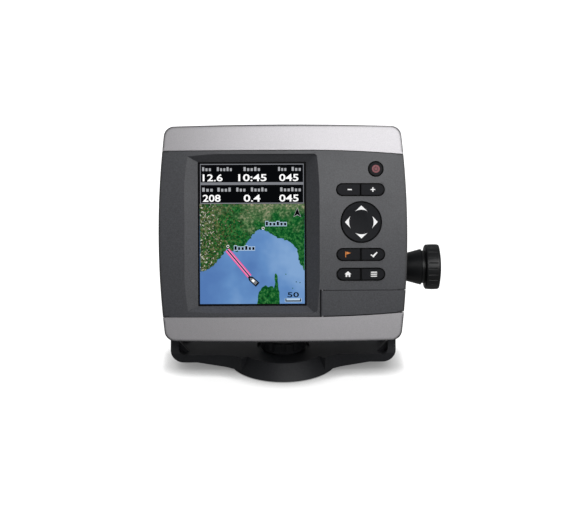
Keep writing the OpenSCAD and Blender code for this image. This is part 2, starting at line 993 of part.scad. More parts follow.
module card_bay() {
    color(black) lean() difference() {
        intersection() {
            slab(-37, bay_back) bay_shape(0);
            dome(wall + 0.5);
        }
        slab(-40, bay_back - 2.2) bay_shape(1.5);
        slab(-40, bay_back + 1) socket_shape(0.9);
        slab(bay_back - 0.8, bay_back + 1) socket_shape(0);
    }
}

// ---------- head: card door ----------

module card_door() {
    color(dark_grey) lean() difference() {
        union() {
            intersection() {
                front_shell();
                door_cut(0);
                block(hinge_x, 90, -60, 0, -60, 20);
            }
            intersection() {
                hinge_line() translate([0, 0, -12]) cylinder(r = hinge_r, h = 24, $fn = 48);
                slab(face_y - 2, 0) difference() {
                    rect(door_left, 90, -60, door_top - door_gap);
                    below_band(-seam / 2 - door_gap);
                }
            }
        }
        hinge_line() translate([0, 0, -20]) cylinder(r = hinge_pin_r + running, h = 40, $fn = 32);
        translate([half_w - 2.2, door_back, -24]) cylinder(r = 1.6, h = 8, $fn = 48);
    }
}

module door_seal() {
    color([0.18, 0.18, 0.18]) lean() intersection() {
        difference() {
            dome(wall);
            dome(wall + 1);
        }
        slab(face_y, -28) difference() {
            rect(26.8, 61.4, -24.3, -15);
            rect(27.8, 60.4, -23.3, -16);
        }
    }
}

module door_hinge_pin() {
    color(steel_colour) lean() hinge_line() translate([0, 0, -9])
        cylinder(r = hinge_pin_r, h = 17.5, $fn = 32);
}

// ---------- parts ----------

base_pad();
base_plate();
base_insert();
bail_bracket();
swivel_washer();
swivel_knob();
swivel_stud();
tilt_knob();
tilt_knob_stud();
tilt_knob_cap();
pivot_inserts();
friction_washers();
left_pivot_screw();
left_pivot_washer();
rear_housing();
case_gasket();
case_screws();
front_chassis();
face_panel();
top_trim();
bottom_trim();
lens_window();
lens_seal();
lcd_panel();
backlight_frame();
keypad_mat();
key_board();
main_board();
board_chips();
shield_can();
board_screws();
card_socket();
card_bay();
gps_antenna();
beeper();
power_connector();
connector_seal();
connector_contacts();
connector_nut();
breather_vent();
rear_label();
card_door();
door_seal();
door_hinge_pin();
power_button();
zoom_out_key();
zoom_in_key();
mark_key();
select_key();
home_key();
menu_key();
rocker_post();
rocker_pivot();
rocker_pad();
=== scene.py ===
"""Looks of the chartplotter on its bail mount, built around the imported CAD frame."""
import json
import math

import bmesh
import bpy
from mathutils import Matrix, Vector, noise
from mathutils.bvhtree import BVHTree
from mathutils.geometry import tessellate_polygon


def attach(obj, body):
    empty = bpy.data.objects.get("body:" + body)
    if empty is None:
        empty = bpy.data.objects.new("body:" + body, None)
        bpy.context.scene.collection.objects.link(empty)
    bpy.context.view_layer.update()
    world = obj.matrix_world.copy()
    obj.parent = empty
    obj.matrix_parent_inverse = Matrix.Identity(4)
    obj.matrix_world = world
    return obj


MM = 0.001
BLACK = (0, 0, 0, 1)
WHITE = (1, 1, 1, 1)
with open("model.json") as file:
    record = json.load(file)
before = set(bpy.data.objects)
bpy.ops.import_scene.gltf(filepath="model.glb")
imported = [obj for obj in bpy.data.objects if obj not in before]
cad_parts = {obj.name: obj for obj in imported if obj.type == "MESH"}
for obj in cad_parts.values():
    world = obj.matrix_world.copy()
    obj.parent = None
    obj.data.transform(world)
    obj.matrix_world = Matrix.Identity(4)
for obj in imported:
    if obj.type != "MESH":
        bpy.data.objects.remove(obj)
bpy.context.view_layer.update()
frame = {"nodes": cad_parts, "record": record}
scene = bpy.context.scene
NODES = frame["nodes"]

# ---------- the head's own frame: upright, origin on the tilt line ----------

joints = {j["name"]: j for j in frame["record"]["behaviour"]["joints"]}
pivot = Vector(joints["tilt"]["pos_m"])
push = Vector(joints["power_button_press"]["axis"])
lean = math.atan2(push.z, push.y)
HEAD = Matrix.Translation(pivot) @ Matrix.Rotation(lean, 4, "X")
HEAD_BACK = HEAD.inverted()


def head_box(node):
    """Lowest and highest corner of a node in the head's frame, in metres."""
    points = [HEAD_BACK @ v.co for v in NODES[node].data.vertices]
    low = Vector([min(p[i] for p in points) for i in range(3)])
    high = Vector([max(p[i] for p in points) for i in range(3)])
    return low, high


def head_centre(node):
    low, high = head_box(node)
    return (low + high) / 2


FACE_MIDDLE = HEAD @ head_centre("face_panel")


# ---------- material helpers ----------

def srgb(r, g, b):
    """A colour given as 0 to 255 screen values, as linear light."""
    def lin(c):
        c /= 255
        return c / 12.92 if c <= 0.04045 else ((c + 0.055) / 1.055) ** 2.4
    return (lin(r), lin(g), lin(b), 1)


class Shader:
    """A material and short ways to add nodes to it."""

    def __init__(self, name):
        self.material = bpy.data.materials.new(name)
        self.material.use_nodes = True
        self.tree = self.material.node_tree
        self.surface = self.tree.nodes["Principled BSDF"]
        self.coords = self.tree.nodes.new("ShaderNodeTexCoord").outputs["Object"]

    def node(self, kind, **values):
        made = self.tree.nodes.new(kind)
        for key, value in values.items():
            setattr(made, key, value)
        return made

    def link(self, a, b):
        self.tree.links.new(a, b)

    def set(self, **values):
        for key, value in values.items():
            self.surface.inputs[key.replace("_", " ")].default_value = value

    def noise(self, scale, detail=3.0, roughness=0.5, stretch=(1, 1, 1)):
        mapping = self.node("ShaderNodeMapping")
        mapping.inputs["Scale"].default_value = stretch
        self.link(self.coords, mapping.inputs["Vector"])
        made = self.node("ShaderNodeTexNoise")
        made.inputs["Scale"].default_value = scale
        made.inputs["Detail"].default_value = detail
        made.inputs["Roughness"].default_value = roughness
        self.link(mapping.outputs["Vector"], made.inputs["Vector"])
        return made.outputs["Fac"]

    def ramp(self, source, stops):
        made = self.node("ShaderNodeValToRGB")
        elements = made.color_ramp.elements
        while len(elements) < len(stops):
            elements.new(0.5)
        for element, (place, colour) in zip(elements, stops):
            element.position = place
            element.color = colour
        self.link(source, made.inputs["Fac"])
        return made.outputs["Color"]

    def bump(self, source, strength, distance, before=None):
        made = self.node("ShaderNodeBump")
        made.inputs["Strength"].default_value = strength
        made.inputs["Distance"].default_value = distance
        self.link(source, made.inputs["Height"])
        if before:
            self.link(before, made.inputs["Normal"])
        self.link(made.outputs["Normal"], self.surface.inputs["Normal"])
        return made.outputs["Normal"]


def blend(s, factor, a, b):
    """Mixes two colour outputs by a third output."""
    mix = s.node("ShaderNodeMix", data_type="RGBA")
    s.link(factor, mix.inputs["Factor"])
    s.link(a, mix.inputs["A"])
    s.link(b, mix.inputs["B"])
    return mix.outputs["Result"]


# Radii in metres of the painted shade on rims and on edges, and the part of a lit colour that room light
# does not bring out.
RIM_SHADE_REACH = 0.0026
EDGE_SHADE_REACH = 0.0014
LIT_DIMMING = 0.88


def rounded_normal(s, radius):
    """The surface's direction in its own frame, as if its edges were rounded by the radius."""
    rounded = s.node("ShaderNodeBevel", samples=8)
    rounded.inputs["Radius"].default_value = radius
    own = s.node("ShaderNodeVectorTransform", vector_type="NORMAL", convert_from="WORLD",
                 convert_to="OBJECT")
    s.link(rounded.outputs["Normal"], own.inputs["Vector"])
    return own.outputs["Vector"]


def rim_shade_mask(s, from_middle=None):
    """Mask of painted shade: is 1 on the front's outer rim and sides, and 0 on its face and on edges that
    face inwards.

    from_middle, in mm, keeps it to the part that lies at least that far to the left or right.
    """
    own = rounded_normal(s, RIM_SHADE_REACH)
    out = s.node("ShaderNodeVectorMath", operation="SUBTRACT")
    out.inputs[1].default_value = FACE_MIDDLE
    s.link(s.coords, out.inputs[0])
    unit = s.node("ShaderNodeVectorMath", operation="NORMALIZE")
    s.link(out.outputs["Vector"], unit.inputs[0])
    along = s.node("ShaderNodeVectorMath", operation="DOT_PRODUCT")
    s.link(own, along.inputs[0])
    s.link(unit.outputs["Vector"], along.inputs[1])
    rim = s.ramp(along.outputs["Value"], [(0.22, BLACK), (0.36, (0.35, 0.35, 0.35, 1)),
                                          (0.6, WHITE)])
    if from_middle is None:
        return rim
    split = s.node("ShaderNodeSeparateXYZ")
    s.link(s.coords, split.inputs[0])
    apart = s.node("ShaderNodeMath", operation="ABSOLUTE")
    s.link(split.outputs["X"], apart.inputs[0])
    beyond = s.node("ShaderNodeMath", operation="GREATER_THAN")
    beyond.inputs[1].default_value = from_middle * MM
    s.link(apart.outputs["Value"], beyond.inputs[0])
    kept = s.node("ShaderNodeMath", operation="MULTIPLY")
    s.link(rim, kept.inputs[0])
    s.link(beyond.outputs["Value"], kept.inputs[1])
    return kept.outputs["Value"]


def edge_shade_mask(s, radius):
    """Is 1 where the surface, rounded over the radius, no longer faces the front's way: the mask of painted
    edge shade.
    """
    own = rounded_normal(s, radius)
    forward = s.node("ShaderNodeVectorMath", operation="DOT_PRODUCT")
    forward.inputs[1].default_value = HEAD.to_3x3() @ Vector((0, -1, 0))
    s.link(own, forward.inputs[0])
    return s.ramp(forward.outputs["Value"], [(0.86, WHITE), (0.98, BLACK)])


def shade(colour, factor):
    return tuple(min(1, c * factor) for c in colour[:3]) + (1,)


def moulded(name, colour, roughness=0.5, grain=900, depth=0.00004, contrast=0.12, shine=0.5,
            dark_rim=None, dark_edge=None):
    """Moulded plastic or rubber: fine spark texture, slight unevenness of colour and gloss.

    dark_rim, in mm, darkens the front's outer rim beyond that distance from the middle: painted shade.
    dark_edge, in metres, darkens all edges over that width: painted shade, for the shaded gaps around the
    keys.
    """
    s = Shader(name)
    s.set(Roughness=roughness, Specular_IOR_Level=shine)
    fine = s.noise(grain, detail=2)
    plain = s.ramp(fine, [(0.3, shade(colour, 1 - contrast)), (0.7, shade(colour, 1 + contrast))])
    # Painted shade: the outer rim is coloured darker, for the dark line that shade leaves along it.
    if dark_rim is not None:
        dark = s.ramp(fine, [(0.3, srgb(22, 22, 24)), (0.7, srgb(28, 28, 30))])
        plain = blend(s, rim_shade_mask(s, dark_rim), plain, dark)
    # Painted shade: the edges are coloured nearly black, for the shaded gaps around the keys.
    if dark_edge is not None:
        dark = s.ramp(fine, [(0.3, srgb(4, 4, 5)), (0.7, srgb(6, 6, 7))])
        plain = blend(s, edge_shade_mask(s, dark_edge), plain, dark)
    s.link(plain, s.surface.inputs["Base Color"])
    cloudy = s.noise(40, detail=4)
    rough = s.ramp(cloudy, [(0.3, (roughness * 0.9,) * 3 + (1,)), (0.7, (roughness * 1.1,) * 3 + (1,))])
    s.link(rough, s.surface.inputs["Roughness"])
    s.bump(fine, 0.35, depth)
    return s.material


def silver_paint():
    s = Shader("silver_paint")
    colour = srgb(181, 179, 182)
    s.set(Metallic=0.7, Roughness=0.4, Coat_Weight=0.1, Coat_Roughness=0.3)
    flakes = s.noise(2600, detail=1)
    paint = s.ramp(flakes, [(0.35, shade(colour, 0.93)), (0.65, shade(colour, 1.07))])
    # Painted shade: the silver gives way to dark grey on the rounded rim and the sides, for the dark line
    # that shade leaves along the rim.
    rim_shade_colour = s.ramp(flakes, [(0.3, srgb(38, 38, 40)), (0.7, srgb(46, 46, 48))])
    s.link(blend(s, rim_shade_mask(s), paint, rim_shade_colour), s.surface.inputs["Base Color"])
    s.bump(flakes, 0.04, 0.00002)
    return s.material


def metal(name, colour, roughness=0.3):
    s = Shader(name)
    s.set(Metallic=1.0, Roughness=roughness)
    turned = s.noise(700, detail=3, stretch=(1, 0.15, 1))
    s.link(s.ramp(turned, [(0.3, shade(colour, 0.85)), (0.7, shade(colour, 1.1))]),
           s.surface.inputs["Base Color"])
    s.bump(turned, 0.1, 0.00003)
    return s.material


def ink(name, colour):
    """Printed sign."""
    s = Shader(name)
    fine = s.noise(1500, detail=2)
    s.link(s.ramp(fine, [(0.2, shade(colour, 0.94)), (0.8, shade(colour, 1.03))]),
           s.surface.inputs["Base Color"])
    s.set(Roughness=0.45)
    return s.material


def lit(s, colour, strength):
    """Makes a shader glow like a lit display: the colour is an output socket."""
    dim = s.node("ShaderNodeMix", data_type="RGBA")
    dim.inputs["Factor"].default_value = LIT_DIMMING
    dim.inputs["B"].default_value = BLACK
    s.link(colour, dim.inputs["A"])
    s.link(dim.outputs["Result"], s.surface.inputs["Base Color"])
    s.link(colour, s.surface.inputs["Emission Color"])
    s.set(Roughness=0.4, Specular_IOR_Level=0.02, Emission_Strength=strength)
    return s.material


def glow(name, colour, strength):
    """One colour of the lit picture, with the fine grain of its dots."""
    s = Shader(name)
    fine = s.noise(1800, detail=1)
    return lit(s, s.ramp(fine, [(0.2, shade(colour, 0.95)), (0.8, shade(colour, 1.02))]), strength)


MATERIALS = {
    "mount_plastic": moulded("mount_plastic", srgb(38, 39, 42), 0.5, shine=0.2),
    "mount_pad": moulded("mount_pad", srgb(24, 24, 24), 0.85),
    # front_plastic has painted shade on its outer rim, key_rubber has painted shade on its edges.
    "front_plastic": moulded("front_plastic", srgb(60, 61, 65), 0.37, grain=1300, contrast=0.22,
                             shine=0.55, dark_rim=66),
    "silver_paint": silver_paint(),
    "case_plastic": moulded("case_plastic", srgb(28, 29, 31), 0.5),
    "key_rubber": moulded("key_rubber", srgb(28, 29, 32), 0.5, grain=1300, depth=0.00002, shine=0.1,
                          dark_edge=EDGE_SHADE_REACH),
    "steel": metal("steel", srgb(190, 191, 194)),
    "brass": metal("brass", srgb(196, 166, 98)),
    "board": moulded("board", srgb(18, 84, 48), 0.35, contrast=0.2),
    "chip": moulded("chip", srgb(22, 22, 23), 0.55),
    "antenna_ceramic": moulded("antenna_ceramic", srgb(205, 196, 170), 0.5),
    "seal_rubber": moulded("seal_rubber", srgb(22, 22, 22), 0.75),
    "label_film": moulded("label_film", srgb(168, 169, 172), 0.4, contrast=0.05),
    "display": moulded("display", srgb(10, 12, 16), 0.3),
    "window": moulded("window", srgb(3, 3, 5), 0.3, contrast=0.05, shine=0.05),
}

slots = {s["node"]: s["material_slot"] for s in frame["record"]["subparts"]}
for name, obj in NODES.items():
    obj.data.materials.clear()
    obj.data.materials.append(MATERIALS[slots[name]])
# The tilt knob is of the mount's plastic too, but polished; its darker colour is painted shade, for the
# shade that falls on it.
NODES["tilt_knob"].data.materials[0] = moulded("knob_plastic_shaded", srgb(15, 16, 18), 0.36, shine=0.42)


def soften(name, *steps):
    """Rounds a CAD node's edges, as a mould leaves them: each step is a width in mm and an angle."""
    obj = NODES[name]
    weld = obj.modifiers.new("weld", "WELD")
    weld.merge_threshold = 0.00001
    for width, angle in steps:
        bevel = obj.modifiers.new("bevel", "BEVEL")
        bevel.width = width * MM
        bevel.segments = 3
        bevel.limit_method = "ANGLE"
        bevel.angle_limit = math.radians(angle)
        bevel.use_clamp_overlap = True
    obj.modifiers.new("normals", "WEIGHTED_NORMAL")


ROUNDED = {
    "top_trim": ((0.25, 89), (1.5, 60)),
    "bottom_trim": ((0.25, 89), (1.5, 60)),
    "face_panel": ((0.45, 14),),
    "card_door": ((0.3, 40),),
    "bail_bracket": ((0.7, 30),),
    "tilt_knob": ((0.25, 30),),
    "swivel_knob": ((0.3, 30),),
    "rear_housing": ((0.6, 30),),
    "power_button": ((0.4, 50),),
    "rocker_pad": ((0.45, 50),),
    "power_connector": ((0.3, 50),),
    "connector_nut": ((0.3, 50),),
}
for key in ("zoom_out_key", "zoom_in_key", "mark_key", "select_key", "home_key", "menu_key"):
    ROUNDED[key] = ((0.4, 50),)
for name, steps in ROUNDED.items():
    soften(name, *steps)


# ---------- flat shapes in the head's X and Z, in millimetres ----------

def rect(x0, x1, z0, z1):
    return [(x0, z0), (x1, z0), (x1, z1), (x0, z1)]


def arc(radius, start, end, steps=24, centre=(0, 0)):
    angles = [math.radians(start + (end - start) * i / steps) for i in range(steps + 1)]
    return [(centre[0] + radius * math.cos(a), centre[1] + radius * math.sin(a)) for a in angles]


def turn(loop, degrees, centre=(0, 0)):
    c, s = math.cos(math.radians(degrees)), math.sin(math.radians(degrees))
    return [(centre[0] + x * c - z * s, centre[1] + x * s + z * c) for x, z in loop]


def moved(loop, dx, dz, scale=1.0):
    return [(dx + x * scale, dz + z * scale) for x, z in loop]


def stroke(points, width):
    """Outline of a line of one width through a few points, with square ends."""
    left, right = [], []
    for i, (x, z) in enumerate(points):
        before = points[max(i - 1, 0)]
        after = points[min(i + 1, len(points) - 1)]
        along = Vector((after[0] - before[0], after[1] - before[1])).normalized()
        reach = width / 2
        if 0 < i < len(points) - 1:
            first = Vector((x - before[0], z - before[1])).normalized()
            reach /= max(0.5, abs(first.dot(along)))
        left.append((x - along.y * reach, z + along.x * reach))
        right.append((x + along.y * reach, z - along.x * reach))
    return left + right[::-1]


MINUS = [rect(-1.2, 1.2, -0.32, 0.32)]
PLUS = [[(-1.3, -0.32), (-0.32, -0.32), (-0.32, -1.3), (0.32, -1.3), (0.32, -0.32), (1.3, -0.32),
         (1.3, 0.32), (0.32, 0.32), (0.32, 1.3), (-0.32, 1.3), (-0.32, 0.32), (-1.3, 0.32)]]
FLAG = [rect(-1.5, -1.05, -1.6, 1.7), [(-0.85, 1.7), (1.7, 0.85), (-0.85, 0.0)]]
CHECK = [stroke([(-1.7, -0.1), (-0.5, -1.2), (1.9, 1.3)], 0.65)]
HOUSE = [[(-2.0, 0.05), (0, 1.8), (2.0, 0.05), (1.35, 0.05), (1.35, -1.5), (0.4, -1.5), (0.4, -0.5),
          (-0.4, -0.5), (-0.4, -1.5), (-1.35, -1.5), (-1.35, 0.05)]]
BARS = [rect(-1.8, 1.8, z - 0.28, z + 0.28) for z in (-1.15, 0, 1.15)]
POWER_DISC = [arc(2.3, 0, 350, 35)]
POWER = [arc(1.4, 130, 410) + arc(0.85, 410, 130), rect(-0.28, 0.28, 0.3, 1.6)]
ARROW = [(0, 9.5), (3.6, 6.1)] + arc(8.0, 65, 115, 10, (0, -0.9)) + [(-3.6, 6.1)]
ARROWS = [turn(ARROW, a) for a in (0, 90, 180, 270)]


# ---------- thin printed pieces ----------

def prism(mesh, loop, depth, slot=0):
    """Adds a closed slab: loop is in X and Z, depth(x, z) gives its front and its back in Y."""
    area = sum(a[0] * b[1] - b[0] * a[1] for a, b in zip(loop, loop[1:] + loop[:1]))
    if area < 0:
        loop = loop[::-1]
    front, back = [], []
    for x, z in loop:
        y0, y1 = depth(x, z)
        front.append(mesh.verts.new((x, y0, z)))
        back.append(mesh.verts.new((x, y1, z)))
    for tri in tessellate_polygon([[Vector((x, z, 0)) for x, z in loop]]):
        mesh_face(mesh, [front[i] for i in tri], slot, (0, -1, 0))
        mesh_face(mesh, [back[i] for i in tri], slot, (0, 1, 0))
    count = len(loop)
    for i in range(count):
        j = (i + 1) % count
        face = mesh.faces.new((front[i], back[i], back[j], front[j]))
        face.material_index = slot


def mesh_face(mesh, corners, slot, outward):
    face = mesh.faces.new(corners)
    face.normal_update()
    if face.normal.dot(Vector(outward)) < 0:
        face.normal_flip()
    face.material_index = slot


def piece(name, mesh, materials, body):
    """Turns a mesh in millimetres of the head's frame into an object that rides on a body."""
    bmesh.ops.recalc_face_normals(mesh, faces=mesh.faces[:])
    bmesh.ops.transform(mesh, matrix=HEAD @ Matrix.Scale(MM, 4), verts=mesh.verts[:])
    data = bpy.data.meshes.new(name)
    mesh.to_mesh(data)
    mesh.free()
    obj = bpy.data.objects.new(name, data)
    scene.collection.objects.link(obj)
    for material in materials:
        data.materials.append(material)
    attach(obj, body)
    return obj


def surface_of(node):
    """Function that gives a node's front surface, Y in the head's frame in mm, at X and Z."""
    to_mm = Matrix.Scale(1 / MM, 4) @ HEAD_BACK
    data = NODES[node].data
    tree = BVHTree.FromPolygons([to_mm @ v.co for v in data.vertices],
                                [list(p.vertices) for p in data.polygons])

    def front(x, z):
        hit = tree.ray_cast(Vector((x, -80, z)), Vector((0, 1, 0)))
        return hit[0].y if hit[0] else None
    return front


def printed(name, key, loops, material, shift=0.0, proud=0.1):
    """A sign on the front of a key, whose node and body share one name.

    It lies a shift to the right of the key's middle and stands proud of its surface, both in mm.
    """
    front = surface_of(key)
    middle = head_centre(key) / MM
    mesh = bmesh.new()
    for loop in loops:
        placed = moved(loop, middle.x + shift, middle.z)

        def depth(x, z):
            y = front(x, z)
            return y - proud, y + proud
        prism(mesh, placed, depth)
    return piece(name, mesh, [material], key)


WHITE_INK = ink("white_ink", srgb(252, 252, 252))
ORANGE_INK = ink("orange_ink", srgb(215, 128, 48))
RED_INK = ink("red_ink", srgb(132, 66, 73))
DARK_RED_INK = ink("dark_red_ink", srgb(62, 20, 28))


def make_signs():
    printed("sign_minus", "zoom_out_key", MINUS, WHITE_INK, shift=1.2)
    printed("sign_plus", "zoom_in_key", PLUS, WHITE_INK, shift=-0.4)
    printed("sign_flag", "mark_key", FLAG, ORANGE_INK)
    printed("sign_check", "select_key", CHECK, WHITE_INK)
    printed("sign_house", "home_key", HOUSE, WHITE_INK)
    printed("sign_bars", "menu_key", BARS, WHITE_INK)
    printed("power_spot", "power_button", POWER_DISC, RED_INK, proud=0.06)
    printed("sign_power", "power_button", POWER, DARK_RED_INK, proud=0.12)
    printed("sign_arrows", "rocker_pad", ARROWS, WHITE_INK, proud=0.16)


# ---------- the lit picture ----------

window_low, window_high = (v / MM for v in head_box("lens_window"))
SIDE_MARGIN = 3.1
TOP_MARGIN = 2.85
BOTTOM_MARGIN = 3.2
LEFT = window_low.x + SIDE_MARGIN
RIGHT = window_high.x - SIDE_MARGIN
BOTTOM = window_low.z + BOTTOM_MARGIN
TOP = window_high.z - TOP_MARGIN
GLASS = window_low.y
LAYER = 0.02
LIT = 0.8
MARK_HIGH = 0.028
MARK_STEP = 0.034


def at(u, v):
    """Point of the picture: u from its left edge, v down from its top, each 0 to 1."""
    return (LEFT + u * (RIGHT - LEFT), TOP - v * (TOP - BOTTOM))


def block(u0, u1, v0, v1):
    return [at(u0, v1), at(u1, v1), at(u1, v0), at(u0, v0)]


def curve_through(points, per_span=14):
    """Smooth curve through a few points."""
    padded = [points[0]] + list(points) + [points[-1]]
    out = []
    for p0, p1, p2, p3 in zip(padded, padded[1:], padded[2:], padded[3:]):
        for i in range(per_span):
            t = i / per_span
            out.append(tuple(
                0.5 * (2 * b + (c - a) * t + (2 * a - 5 * b + 4 * c - d) * t * t
                       + (3 * b - a - 3 * c + d) * t ** 3)
                for a, b, c, d in zip(p0, p1, p2, p3)))
    return out + [points[-1]]


def ragged(points, amount, seed):
    """Roughens a curve as a coast is: the same each run."""
    out = []
    for u, v in points:
        spot = Vector((u * 30, v * 30, seed))
        wide = noise.noise(spot) + 0.7 * noise.noise(spot * 2.7)
        tall = noise.noise(spot + Vector((9, 4, 1))) + 0.7 * noise.noise(spot * 2.9)
        out.append((min(1, max(0, u + amount * wide)), v + amount * tall))
    return out


COAST = [(0, 0.775), (0.1, 0.745), (0.19, 0.675), (0.26, 0.615), (0.38, 0.625), (0.46, 0.56),
         (0.53, 0.49), (0.61, 0.475), (0.72, 0.52), (0.87, 0.565), (0.93, 0.63), (0.96, 0.71), (1, 0.765)]
ISLAND_MIDDLE = (0.64, 0.955)
CAPE = [(0.7, 1.0), (0.695, 0.93), (0.715, 0.86), (0.712, 0.8), (0.722, 0.785), (0.74, 0.8),
        (0.745, 0.85), (0.755, 0.92), (0.762, 1.0)]


def island():
    loop = []
    for i in range(61):
        a = math.pi * i / 60
        grow = 1 + 0.16 * noise.noise(Vector((math.cos(a) * 3, math.sin(a) * 3, 7)))
        u = ISLAND_MIDDLE[0] + 0.095 * grow * math.cos(a)
        loop.append((u, 1 - 0.125 * grow * math.sin(a) ** 0.8))
    return loop


def across(s, axis, low, high):
    """Runs from 0 to 1 between two places along an axis of the picture."""
    split = s.node("ShaderNodeSeparateXYZ")
    s.link(s.coords, split.inputs["Vector"])
    span = s.node("ShaderNodeMapRange")
    span.inputs["From Min"].default_value = low
    span.inputs["From Max"].default_value = high
    s.link(split.outputs[axis], span.inputs["Value"])
    return span.outputs["Result"]


def total(s, a, b, operation="ADD"):
    made = s.node("ShaderNodeMath", operation=operation)
    s.link(a, made.inputs[0])
    s.link(b, made.inputs[1])
    return made.outputs["Value"]


def land_paint():
    s = Shader("map_land")
    fine = s.noise(700, detail=4, roughness=0.7)
    green = s.ramp(fine, [(0.32, srgb(4, 40, 18)), (0.5, srgb(10, 92, 38)), (0.66, srgb(70, 132, 70))])
    tan = s.ramp(fine, [(0.3, srgb(52, 92, 52)), (0.5, srgb(98, 122, 84)), (0.66, srgb(184, 172, 146))])
    top = (HEAD @ Vector((0, GLASS * MM, TOP * MM))).z
    bottom = (HEAD @ Vector((0, GLASS * MM, BOTTOM * MM))).z
    inland = total(s, s.noise(90, detail=5), across(s, "Z", bottom + 0.35 * (top - bottom),
                                                     bottom + 1.5 * (top - bottom)))
    colour = blend(s, s.ramp(inland, [(0.69, BLACK), (0.9, WHITE)]), green, tan)
    east = across(s, "X", LEFT * MM, (2.2 * RIGHT - 1.2 * LEFT) * MM)
    scree = total(s, s.noise(950, detail=3, roughness=0.6), east, "SUBTRACT")
    brown = blend(s, s.ramp(scree, [(0.36, BLACK), (0.52, WHITE)]), colour,
                  s.ramp(fine, [(0.4, srgb(20, 48, 20)), (0.6, srgb(110, 104, 62))]))
    pale = s.ramp(fine, [(0.4, srgb(176, 188, 166)), (0.6, srgb(236, 238, 230))])
    return lit(s, blend(s, s.ramp(scree, [(0.55, BLACK), (0.61, WHITE)]), brown, pale), LIT)


def sea_paint():
    s = Shader("map_sea")
    width = RIGHT - LEFT
    east = total(s, across(s, "X", (LEFT - width) * MM, (RIGHT + width) * MM), s.noise(45, detail=3),
                 "MULTIPLY")
    return lit(s, s.ramp(east, [(0.15, srgb(86, 126, 186)), (0.25, srgb(102, 146, 202)),
                                (0.37, srgb(134, 172, 218))]), LIT)


def digits(mesh, text, u0, u1, v0, v1, front, slot):
    """Adds figures as closed slabs that fill the given part of the picture."""
    data = bpy.data.curves.new(text, "FONT")
    data.body = text
    data.offset = 0.016
    data.resolution_u = 3
    shape = bpy.data.objects.new("figures", data)
    scene.collection.objects.link(shape)
    flat = shape.to_mesh(depsgraph=bpy.context.evaluated_depsgraph_get())
    xs = [v.co.x for v in flat.vertices]
    ys = [v.co.y for v in flat.vertices]
    start = at(u0, v1)
    end = at(u1, v0)
    scale_x = (end[0] - start[0]) / (max(xs) - min(xs))
    scale_z = (end[1] - start[1]) / (max(ys) - min(ys))
    verts = {}
    for v in flat.vertices:
        x = start[0] + (v.co.x - min(xs)) * scale_x
        z = start[1] + (v.co.y - min(ys)) * scale_z
        verts[v.index] = (mesh.verts.new((x, front, z)), mesh.verts.new((x, front + 2 * LAYER, z)))
    rims = {}
    for p in flat.polygons:
        loop = list(p.vertices)
        mesh_face(mesh, [verts[i][0] for i in loop], slot, (0, -1, 0))
        mesh_face(mesh, [verts[i][1] for i in loop], slot, (0, 1, 0))
        for a, b in zip(loop, loop[1:] + loop[:1]):
            rims.setdefault(frozenset((a, b)), []).append((a, b))
    for uses in rims.values():
        if len(uses) == 1:
            a, b = uses[0]
            face = mesh.faces.new((verts[a][0], verts[b][0], verts[b][1], verts[a][1]))
            face.material_index = slot
    shape.to_mesh_clear()
    bpy.data.objects.remove(shape)


def marks(lay, u0, u1, v, layer, paint, grow=0.0):
    """A row of small upright marks that stands for a word: it says nothing."""
    count = max(2, round((u1 - u0) / MARK_STEP))
    step = (u1 - u0) / count
    for i in range(count):
        left = u0 + i * step
        top = v if i % 3 == 0 else v + 0.28 * MARK_HIGH
        lay(block(left - grow, left + 0.62 * step + grow, top - grow, v + MARK_HIGH + grow), layer, paint)


PICTURE_INKS = ["sea", "land", "black", "grey", "white", "magenta", "pale", "plum", "haze", "blush"]


